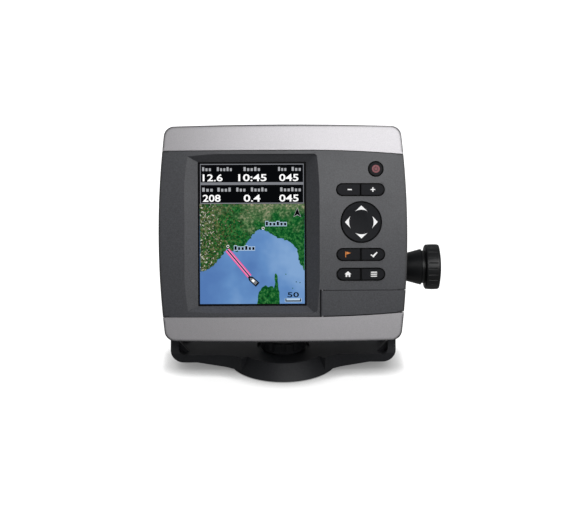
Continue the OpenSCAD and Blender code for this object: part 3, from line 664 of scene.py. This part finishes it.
def make_picture():
    paints = [sea_paint(), land_paint(), glow("screen_black", srgb(2, 3, 6), LIT),
              glow("screen_grey", srgb(132, 134, 140), LIT), glow("screen_white", srgb(255, 255, 255), 1.0),
              glow("screen_magenta", srgb(255, 84, 160), LIT), glow("screen_pale", srgb(176, 178, 182), LIT),
              glow("screen_plum", srgb(84, 28, 76), LIT), glow("screen_haze", srgb(186, 212, 238), LIT),
              glow("screen_blush", srgb(255, 186, 222), LIT)]
    slot = {n: i for i, n in enumerate(PICTURE_INKS)}
    mesh = bmesh.new()

    def lay(loop, layer, paint):
        front = GLASS - LAYER * layer
        prism(mesh, loop, lambda x, z: (front, front + 2 * LAYER), slot[paint])

    lay(block(0, 1, 0, 1), 1, "sea")
    coast = [(0, 0.28)] + ragged(curve_through(COAST), 0.014, 1) + [(1, 0.28)]
    lay([at(u, v) for u, v in coast], 2, "land")
    lay([at(u, min(v, 1)) for u, v in island()], 2, "land")
    lay([at(*p) for p in ragged(curve_through(CAPE), 0.004, 5)], 3, "land")
    for u, v in ((0.82, 0.79), (0.92, 0.845), (0.955, 0.85), (0.885, 0.89)):
        lay(moved(arc(0.32, 0, 330, 11), *at(u, v)), 2, "land")

    # Two rows of figures in a grey frame, with small marks where a heading goes.
    lay(block(0, 1, 0, 0.29), 2, "black")
    lay(block(0.005, 0.995, 0.003, 0.287), 3, "grey")
    for top, low in ((0.009, 0.134), (0.153, 0.28)):
        lay(block(0.011, 0.989, top, low), 4, "black")
    heads = [(0.026, ((0.025, 0.12), (0.165, 0.32), (0.42, 0.59), (0.75, 0.84), (0.88, 0.98))),
             (0.172, ((0.025, 0.14), (0.17, 0.31), (0.35, 0.45), (0.49, 0.655), (0.77, 0.98)))]
    for v, spans in heads:
        for u0, u1 in spans:
            marks(lay, u0, u1, v, 5, "pale")
    figures = [("12.6", 0.03, 0.22, 0.076, 0.127), ("10:45", 0.37, 0.64, 0.076, 0.127),
               ("045", 0.76, 0.945, 0.076, 0.127), ("208", 0.03, 0.2, 0.222, 0.273),
               ("0.4", 0.42, 0.58, 0.222, 0.273), ("045", 0.76, 0.945, 0.222, 0.273)]
    for text, u0, u1, v0, v1 in figures:
        digits(mesh, text, u0, u1, v0, v1, GLASS - 5 * LAYER, slot["white"])

    # Marks where two place names go, dark with a pale rim.
    for u0, u1, v in ((0.63, 0.84, 0.415), (0.33, 0.535, 0.588)):
        marks(lay, u0, u1, v, 3, "haze", grow=0.005)
        marks(lay, u0, u1, v, 4, "black")

    # The course line, the boat, the north arrow and the scale bar.
    start, end = at(0.262, 0.615), at(0.475, 0.805)
    lay(stroke([start, end], 2.7), 5, "magenta")
    lay(stroke([start, end], 1.5), 6, "blush")
    lay(stroke([start, end], 0.8), 7, "plum")
    boat = [(-0.2, 4.2), (1.5, 2.2), (1.6, -3.2), (-1.6, -3.2), (-1.5, 2.2)]
    middle = at(0.512, 0.838)
    lay(turn(boat, 48, middle), 8, "black")
    lay(turn([(x * 0.62, z * 0.7) for x, z in boat], 48, middle), 9, "grey")
    lay(turn(rect(-0.7, 0.7, -0.5, 1.1), 48, middle), 10, "white")
    north = at(0.932, 0.352)
    lay(moved([(0, 3.1), (2.3, -2.6), (0, -1.4), (-2.3, -2.6)], *north), 3, "pale")
    lay(moved([(0, 2.6), (2.0, -2.3), (0, -1.0), (-2.0, -2.3)], *north), 4, "black")
    for town in ((0.605, 0.462), (0.268, 0.59)):
        lay(moved(arc(0.8, 0, 345, 23), *at(*town)), 5, "white")
        lay(moved(arc(0.55, 0, 345, 23), *at(*town)), 6, "black")
    bar_left, bar_low = at(0.815, 0.985)
    bar_right = at(0.965, 0.985)[0]
    lay(rect(bar_left - 0.3, bar_right + 0.3, bar_low - 0.3, bar_low + 1.9), 3, "haze")
    lay([(bar_left, bar_low + 1.8), (bar_left, bar_low), (bar_right, bar_low), (bar_right, bar_low + 1.8),
         (bar_right - 0.6, bar_low + 1.8), (bar_right - 0.6, bar_low + 0.7),
         (bar_left + 0.6, bar_low + 0.7), (bar_left + 0.6, bar_low + 1.8)], 4, "black")
    digits(mesh, "50", 0.835, 0.945, 0.918, 0.955, GLASS - 4 * LAYER, slot["black"])
    piece("screen_picture", mesh, paints, "head")


# ---------- stage ----------

def plane(name, size, z):
    mesh = bpy.data.meshes.new(name)
    half = size / 2
    mesh.from_pydata([(-half, -half, z), (half, -half, z), (half, half, z), (-half, half, z)], [],
                     [(0, 1, 2, 3)])
    obj = bpy.data.objects.new(name, mesh)
    scene.collection.objects.link(obj)
    return obj


FLOOR_SIZE = 200
SHADOW_REACH = 0.012
WORLD_LIGHT = 0.22
SUBJECT = (0, 0, 0.08)


def make_floor():
    """A pale floor that glows a little, and less where something stands close above it: a painted contact
    shadow.
    """
    floor = plane("floor", FLOOR_SIZE, 0)
    s = Shader("floor_white")
    s.set(Roughness=0.9, Base_Color=(0.3, 0.3, 0.3, 1), Emission_Strength=0.86)
    # Painted shadow: the floor's glow falls off where things stand close above it.
    near = s.node("ShaderNodeAmbientOcclusion", samples=8)
    near.inputs["Distance"].default_value = SHADOW_REACH
    painted_contact_shadow = s.ramp(near.outputs["AO"], [(0.3, (0.24, 0.24, 0.24, 1)), (0.84, (0.52, 0.52, 0.52, 1)),
                                          (0.98, WHITE)])
    s.link(painted_contact_shadow, s.surface.inputs["Emission Color"])
    floor.data.materials.append(s.material)
    floor.visible_glossy = False
    floor.visible_diffuse = False


def soft_light(name, place, wide, high, power):
    """A rectangular light, its size in metres and its power in watts, turned to the object."""
    data = bpy.data.lights.new(name, "AREA")
    data.energy = power
    data.shape = "RECTANGLE"
    data.size = wide
    data.size_y = high
    obj = bpy.data.objects.new(name, data)
    obj.location = place
    obj.rotation_mode = "QUATERNION"
    obj.rotation_quaternion = (Vector(SUBJECT) - Vector(place)).to_track_quat("-Z", "Y")
    scene.collection.objects.link(obj)
    return obj


def make_lights():
    world = bpy.data.worlds.new("studio")
    scene.world = world
    world.use_nodes = True
    background = world.node_tree.nodes["Background"]
    background.inputs["Color"].default_value = WHITE
    background.inputs["Strength"].default_value = WORLD_LIGHT
    soft_light("key_light", (0.56, -1.2, 1.05), wide=1.8, high=1.05, power=16.2)
    rear = soft_light("rear_fill", (-0.5, 1.3, 0.75), wide=1.6, high=1.0, power=13)
    rear.visible_glossy = False
    sky = bpy.data.lights.new("overhead", "SUN")
    sky.energy = 2.0
    sky.angle = math.radians(70)
    overhead = bpy.data.objects.new("overhead", sky)
    overhead.visible_glossy = False
    scene.collection.objects.link(overhead)


def make_camera():
    elevation = math.radians(20)
    azimuth = math.radians(-0.7)
    focus = Vector((6.65, 2.9, 69.0)) * MM
    distance = 0.838
    back = Vector((0, -math.cos(elevation), math.sin(elevation)))
    back.rotate(Matrix.Rotation(azimuth, 3, "Z"))
    data = bpy.data.cameras.new("camera")
    data.sensor_width = 36
    data.lens = 85.2
    camera = bpy.data.objects.new("camera", data)
    camera.location = focus + back * distance
    camera.rotation_euler = (math.pi / 2 - elevation, 0, azimuth)
    scene.collection.objects.link(camera)
    scene.camera = camera


scene.view_settings.view_transform = "Standard"
make_signs()
make_picture()
make_floor()
make_lights()
make_camera()
